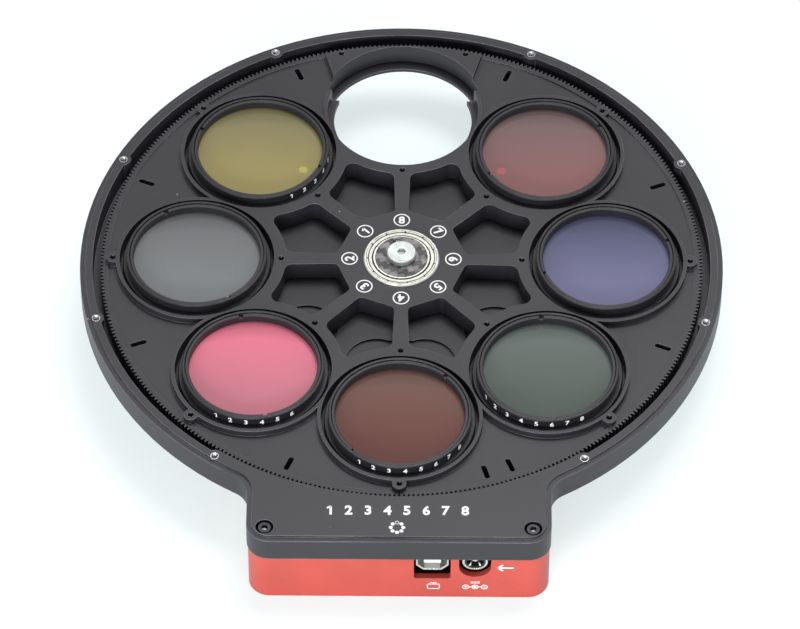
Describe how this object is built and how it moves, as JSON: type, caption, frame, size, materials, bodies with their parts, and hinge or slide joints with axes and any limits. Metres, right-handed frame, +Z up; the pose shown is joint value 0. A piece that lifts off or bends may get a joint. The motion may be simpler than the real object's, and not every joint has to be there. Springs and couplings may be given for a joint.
{
  "type": "optical filter wheel",
  "caption": "Motor-driven wheel of round glass filters in a flat round housing, with a front tab, a low electronics base and rim teeth driven by a small pinion.",
  "frame": {"origin": "under the middle of the whole part, on the base's underside", "axes": "+Z up along the wheel's axis, +Y from the tab with the sockets towards the open station, +X to the right seen from the sockets"},
  "size_m": [0.22, 0.233, 0.034],
  "materials": {
    "black_housing": "black anodised, fine bead-blasted matt",
    "black_wheel": "black anodised, fine bead-blasted matt",
    "red_base": "red anodised, fine matt",
    "cell_black": "black anodised, turned satin",
    "ring_black": "black anodised, turned satin",
    "post_aluminium": "turned",
    "bearing_steel": "ground bearing steel",
    "shield_steel": "pressed sheet, satin",
    "bright_steel": "bright stainless, turned",
    "plain_steel": "zinc plated",
    "black_screw": "black oxide",
    "motor_steel": "zinc plated can",
    "pinion_brass": "cut brass",
    "carbon_fibre": "twill weave under clear resin",
    "circuit_board": "green solder mask",
    "socket_metal": "tinned sheet",
    "white_plastic": "moulded",
    "black_plastic": "moulded",
    "glass_1": "coated filter glass",
    "glass_2": "coated filter glass",
    "glass_3": "coated filter glass",
    "glass_4": "coated filter glass",
    "glass_5": "coated filter glass",
    "glass_6": "coated filter glass",
    "glass_7": "coated filter glass"
  },
  "bodies": {
    "housing_body": {"housing": "black_housing", "base": "red_base", "front_screw_l": "black_screw", "front_screw_r": "black_screw", "rear_screw_l": "plain_steel", "rear_screw_r": "plain_steel", "hub_post": "post_aluminium", "post_screw": "plain_steel", "bearing_inner": "bearing_steel", "bearing_balls": "bearing_steel", "washer": "carbon_fibre", "hub_screw": "bright_steel", "main_board": "circuit_board", "board_screw_l": "plain_steel", "board_screw_r": "plain_steel", "usb_shell": "socket_metal", "usb_tongue": "white_plastic", "dc_jack": "black_plastic", "jack_ring": "socket_metal", "dc_pin": "socket_metal", "sensor_board": "circuit_board", "home_sensor": "black_plastic", "sensor_screw_l": "plain_steel", "sensor_screw_r": "plain_steel", "motor": "motor_steel", "motor_screw_l": "plain_steel", "motor_screw_r": "plain_steel"},
    "wheel_body": {"wheel": "black_wheel", "bearing_outer": "bearing_steel", "shield_top": "shield_steel", "shield_bottom": "shield_steel", "cell_1": "cell_black", "cell_2": "cell_black", "cell_3": "cell_black", "cell_4": "cell_black", "cell_5": "cell_black", "cell_6": "cell_black", "cell_7": "cell_black", "glass_1": "glass_1", "glass_2": "glass_2", "glass_3": "glass_3", "glass_4": "glass_4", "glass_5": "glass_5", "glass_6": "glass_6", "glass_7": "glass_7", "retainer_1": "ring_black", "retainer_2": "ring_black", "retainer_3": "ring_black", "retainer_4": "ring_black", "retainer_5": "ring_black", "retainer_6": "ring_black", "retainer_7": "ring_black"},
    "drive_body": {"pinion": "pinion_brass", "motor_shaft": "plain_steel"}
  },
  "joints": [
    {"name": "wheel_spin", "type": "hinge", "parent": "housing_body", "child": "wheel_body", "pos_m": [0, 0.0065, 0.0302], "axis": [0, 0, 1], "continuous": true},
    {"name": "pinion_spin", "type": "hinge", "parent": "housing_body", "child": "drive_body", "pos_m": [-0.025, -0.09805, 0.0262], "axis": [0, 0, 1], "continuous": true}
  ],
  "couplings": [
    {"joint": "pinion_spin", "follows": "wheel_spin", "ratio": -20.5}
  ]
}
